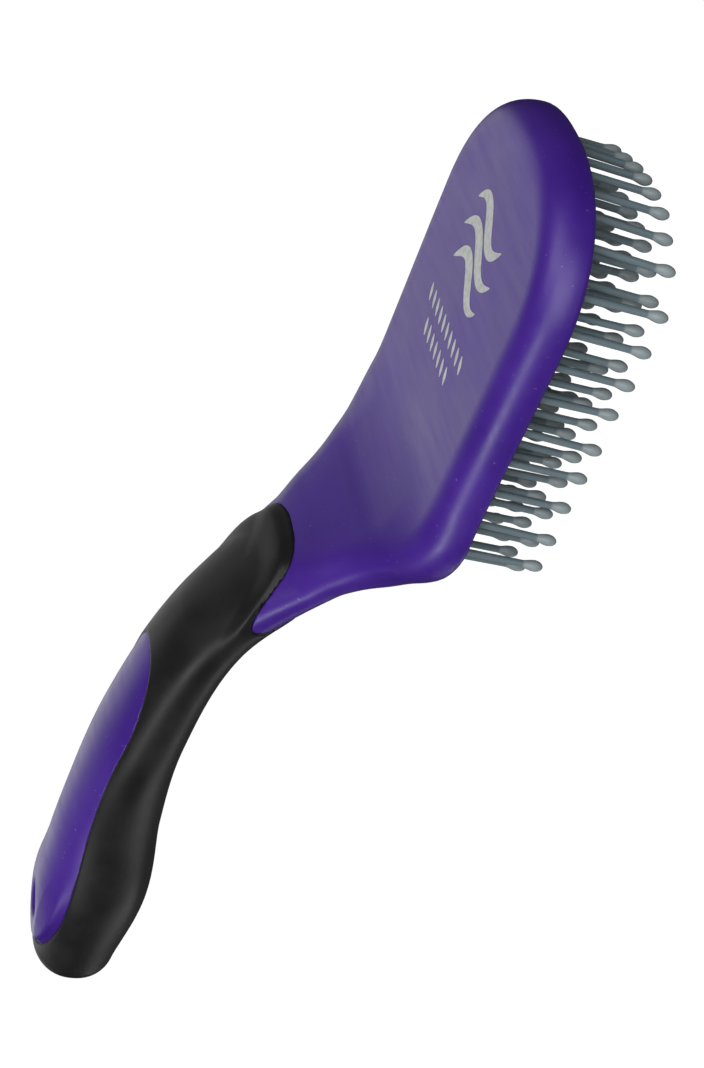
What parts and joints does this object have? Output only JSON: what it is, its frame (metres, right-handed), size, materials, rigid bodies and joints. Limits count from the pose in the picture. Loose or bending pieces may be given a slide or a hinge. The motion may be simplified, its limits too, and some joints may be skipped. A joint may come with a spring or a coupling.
{
  "type": "mane and tail brush",
  "caption": "Paddle brush for a horse's mane and tail: flat rounded head with ball-tipped pins in a rubber bed, cranked neck and a long soft-grip handle with a hanging hole.",
  "frame": {"origin": "middle of the flat back of the head", "axes": "+X along the brush towards the tip of the head, +Y across it, +Z out of the head's back, so the pins point along -Z"},
  "size_m": [0.243, 0.07, 0.0694],
  "materials": {
    "purple_plastic": "moulded polypropylene, half gloss",
    "black_rubber": "soft matt rubber",
    "grey_nylon": "moulded nylon, satin"
  },
  "bodies": {
    "root": {"paddle_body": "purple_plastic", "handle_grip": "black_rubber", "pin_bed": "black_rubber", "pin_strip_01": "grey_nylon", "pin_strip_02": "grey_nylon", "pin_strip_03": "grey_nylon", "pin_strip_04": "grey_nylon", "pin_strip_05": "grey_nylon", "pin_strip_06": "grey_nylon", "pin_strip_07": "grey_nylon", "pin_strip_08": "grey_nylon", "pin_strip_09": "grey_nylon", "pin_strip_10": "grey_nylon", "pin_strip_11": "grey_nylon"}
  },
  "joints": []
}
